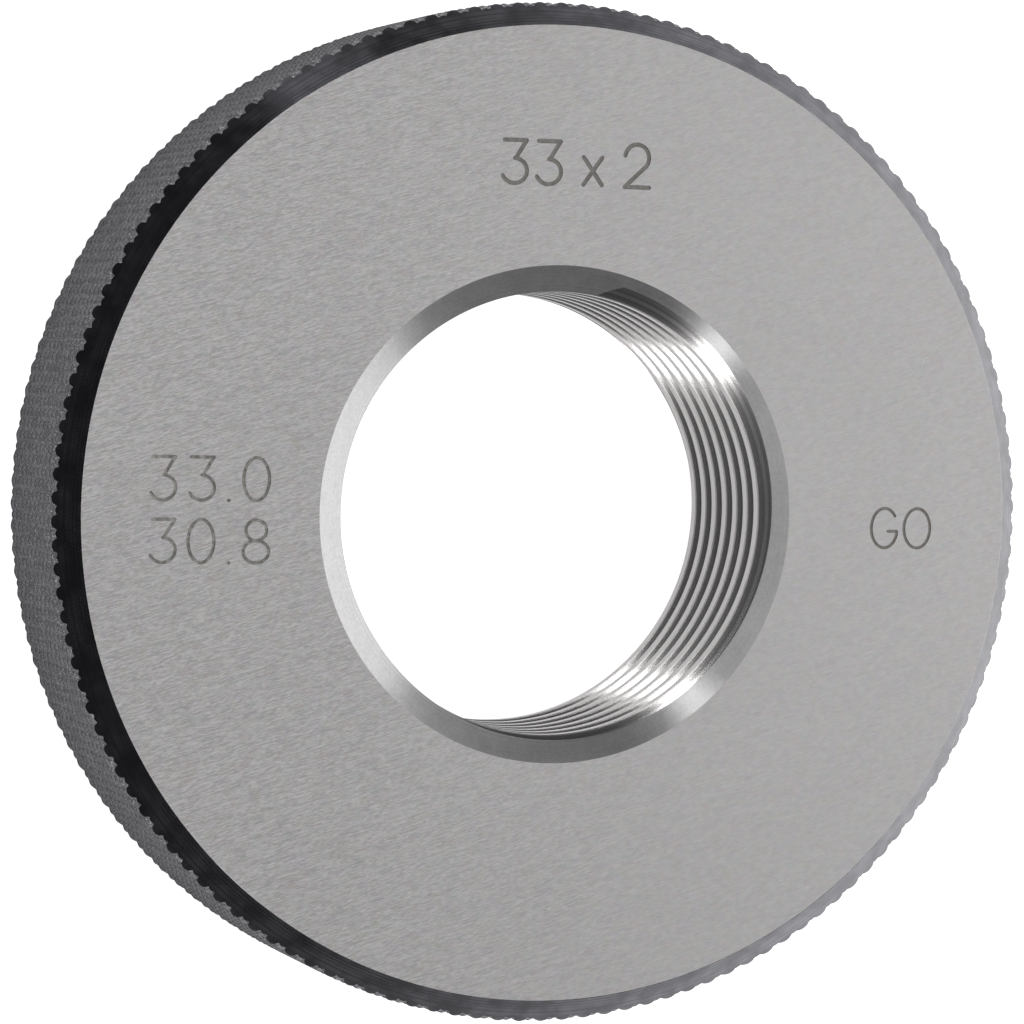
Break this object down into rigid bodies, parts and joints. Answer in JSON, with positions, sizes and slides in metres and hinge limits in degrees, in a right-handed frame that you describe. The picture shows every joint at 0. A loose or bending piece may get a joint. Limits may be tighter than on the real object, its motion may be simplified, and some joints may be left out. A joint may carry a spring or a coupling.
{
  "type": "thread ring gauge",
  "caption": "Solid steel ring gauge with a knurled rim, ground faces and a countersunk internal metric thread for checking screws.",
  "frame": {"origin": "centre of the bore at the ring's back face, which it lies on", "axes": "+Z along the bore towards the marked face, +Y towards the top of the marking, +X to its right"},
  "size_m": [0.071, 0.071, 0.016],
  "materials": {
    "ground_steel": "ground satin faces, lapped thread, black oxide rim"
  },
  "bodies": {
    "root": {"gauge_ring": "ground_steel"}
  },
  "joints": []
}
